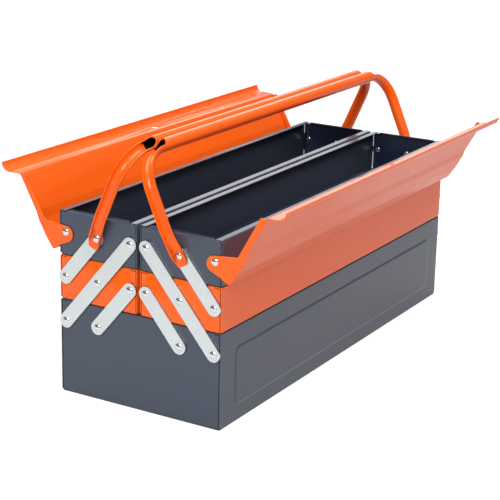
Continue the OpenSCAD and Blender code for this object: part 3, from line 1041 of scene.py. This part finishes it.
# The inside and seams values are painted shade: the slate is painted much darker inside the trays.
orange_paint = skinned("orange powder coat", (0.98, 0.130, 0.002), (0.90, 0.110, 0.002),
                       (0.28, 0.36), (900, 0.12), 700, specular=0.3, coat=0.3,
                       inside=0.1, seams=0.95)
slate_paint = skinned("slate powder coat", (0.056, 0.070, 0.104), (0.046, 0.058, 0.088),
                      (0.29, 0.32), (900, 0.12), 700, specular=0.45, coat=0.12, sheen=0.12,
                      inside=0.92, seams=0.95)
zinc_plate = skinned("zinc plate", (0.90, 0.95, 0.95), (0.68, 0.72, 0.73),
                     (0.30, 0.42), (1600, 0.25), 1100, metallic=1.0)
rivet_plate = skinned("polished rivet plate", (0.86, 0.87, 0.88), (0.80, 0.81, 0.82),
                      (0.10, 0.16), (1200, 0.05), 900, metallic=1.0)

# %% [markdown]
# The bore's material is the orange paint again, with its colour fading to near-black painted
# shade by the distance along the grip, for the dark inside of the tube.

# %% Painted shade in the bores of the handles
# The near-black colour is painted shade for the unlit inside of the tube.
BORE_SHADE_COLOUR = (0.004, 0.003, 0.003, 1)
FULL_SHADE_TO, NO_SHADE_FROM = BEND_X + 0.5, BEND_X + BORE_SHADE_REACH - 3


def bore_shade_material():
    material = orange_paint.copy()
    material.name = "paint fading to painted shade in the bore"
    tree = material.node_tree
    base = tree.nodes["Principled BSDF"].inputs["Base Color"]
    painted = base.links[0].from_socket
    where = tree.nodes.new("ShaderNodeTexCoord").outputs["Object"]
    split = tree.nodes.new("ShaderNodeSeparateXYZ")
    tree.links.new(where, split.inputs["Vector"])
    along = maths(tree, "ABSOLUTE", split.outputs["X"])
    share = remap(tree, along, FULL_SHADE_TO * MM, NO_SHADE_FROM * MM, kind="SMOOTHSTEP")
    tree.links.new(mixed(tree, share, BORE_SHADE_COLOUR, painted), base)
    return material


bore_shade = bore_shade_material()
finishes = {"orange_paint": orange_paint, "slate_paint": slate_paint, "zinc": zinc_plate}
for node, piece in pieces.items():
    finish = rivet_plate if node.endswith("rivets") else finishes[node_slot[node]]
    piece.data.materials.append(finish)
    if node.endswith("handle"):
        piece.data.materials.append(bore_shade)
print(len(finishes) + 2, "materials on", len(pieces), "pieces")

# %% [markdown]
# ## Floor, light and camera
#
# The floor is a plain pale sweep. It glows a little, so that it stays white behind the box, but
# less in reflections and bounced light than to the camera, or it would wash out the shade under
# the box. A very bright lamp would do the same for the floor, and burn out the paint.

# %% Floor
FLOOR_GREY = (0.4, 0.4, 0.4, 1)
GLOW_BOUNCED, GLOW_SEEN = (0.36, 0.36, 0.36, 1), (0.74, 0.74, 0.74, 1)

bpy.ops.object.select_all(action="DESELECT")
bpy.ops.mesh.primitive_plane_add(size=14, location=(0, 0, 0))
floor = bpy.context.active_object
floor.name = "floor"
floor_paint = bpy.data.materials.new("floor")
floor_paint.use_nodes = True
floor_tree = floor_paint.node_tree
floor_shader = floor_tree.nodes["Principled BSDF"]
floor_shader.inputs["Base Color"].default_value = FLOOR_GREY
floor_shader.inputs["Roughness"].default_value = 0.9
floor_shader.inputs["Specular IOR Level"].default_value = 0
floor_shader.inputs["Emission Strength"].default_value = 1
seen = floor_tree.nodes.new("ShaderNodeLightPath").outputs["Is Camera Ray"]
glow = mixed(floor_tree, seen, GLOW_BOUNCED, GLOW_SEEN)
floor_tree.links.new(glow, floor_shader.inputs["Emission Color"])
floor.data.materials.append(floor_paint)
print("floor", tuple(round(side) for side in floor.dimensions), "m")

# %% [markdown]
# Polished metal only looks like metal if it has something dark to mirror. A plain white world
# would make the links and rivets flat, so this one is white above and darkens in a narrow band
# at the horizon.

# %% World
WORLD_STRENGTH = 0.35
SKY_BANDS = ((0.0, (0.03, 0.03, 0.035, 1)), (0.10, (0.05, 0.05, 0.055, 1)), (0.40, (1, 1, 1, 1)))

world = bpy.data.worlds.new("studio")
bpy.context.scene.world = world
world.use_nodes = True
world_nodes, world_links = world.node_tree.nodes, world.node_tree.links
background = world_nodes["Background"]
background.inputs["Strength"].default_value = WORLD_STRENGTH
direction = world_nodes.new("ShaderNodeTexCoord")
split = world_nodes.new("ShaderNodeSeparateXYZ")
bands = world_nodes.new("ShaderNodeValToRGB")
world_links.new(direction.outputs["Generated"], split.inputs["Vector"])
world_links.new(split.outputs["Z"], bands.inputs["Fac"])
world_links.new(bands.outputs["Color"], background.inputs["Color"])
ramp = bands.color_ramp.elements
ramp[0].position, ramp[0].color = SKY_BANDS[0]
ramp[1].position, ramp[1].color = SKY_BANDS[2]
ramp.new(SKY_BANDS[1][0]).color = SKY_BANDS[1][1]
print("the sky is white above", SKY_BANDS[2][0])

# %% [markdown]
# Large soft boxes give flat, even light with soft edges to every shadow. The key stands on the
# side of the links, the overhead one and the top one hang over the two lids, and the backdrop is
# there to be mirrored in the flat rims, which is what makes them pale.


# %% Light
def soft_box(name, location, target, size, power):
    bpy.ops.object.light_add(type="AREA", location=location)
    light = bpy.context.active_object
    light.name = name
    light.data.shape = "RECTANGLE"
    light.data.size, light.data.size_y = size
    light.data.energy = power
    aim = Vector(target) - Vector(location)
    light.rotation_euler = aim.to_track_quat("-Z", "Y").to_euler()
    print(f"{name}: {power} W from {aim.length:.1f} m")


soft_box("overhead", (-0.1, -0.7, 2.3), (0, 0.1, 0.2), (2.0, 1.2), 42)
soft_box("key", (-2.3, -0.75, 1.5), (0, 0, 0.15), (1.2, 1.0), 44)
soft_box("top", (0.4, 1.15, 2.1), (0, 0, 0.2), (1.4, 1.0), 14)
soft_box("backdrop", (2.8, 1.9, 1.5), (0, 0, 0.15), (2.6, 1.6), 26)

# %% [markdown]
# The camera looks down the near end and the front side from a little above. It is set by its
# place and three angles, as a tripod head is, and its lens is given as the focal length in
# pixels of a picture 500 pixels wide.

# %% Camera
CAMERA_AT, FOCAL_PIXELS, PICTURE_PIXELS = (-1499.08, -857.60, 640.69), 1543.2, 500
SENSOR, SHIFT_X = 36, 0.0018
yaw, pitch, roll = math.radians(59.512), math.radians(17.128), math.radians(1.276)

forward = Vector((math.sin(yaw) * math.cos(pitch), math.cos(yaw) * math.cos(pitch),
                  -math.sin(pitch)))
level_right = Vector((math.cos(yaw), -math.sin(yaw), 0))
level_up = level_right.cross(forward)
right = level_right * math.cos(roll) + level_up * math.sin(roll)
up = level_up * math.cos(roll) - level_right * math.sin(roll)
camera_place = Vector(CAMERA_AT) * MM
bpy.ops.object.camera_add(location=camera_place)
camera = bpy.context.active_object
camera.matrix_world = Matrix((
    (right.x, up.x, -forward.x, camera_place.x),
    (right.y, up.y, -forward.y, camera_place.y),
    (right.z, up.z, -forward.z, camera_place.z),
    (0, 0, 0, 1),
))
camera.data.sensor_width = SENSOR
camera.data.lens = FOCAL_PIXELS / PICTURE_PIXELS * SENSOR
camera.data.shift_x = SHIFT_X
bpy.context.scene.camera = camera
bpy.context.scene.view_settings.view_transform = "Standard"
print(f"camera {camera_place.length:.2f} m away with a {camera.data.lens:.0f} mm lens")
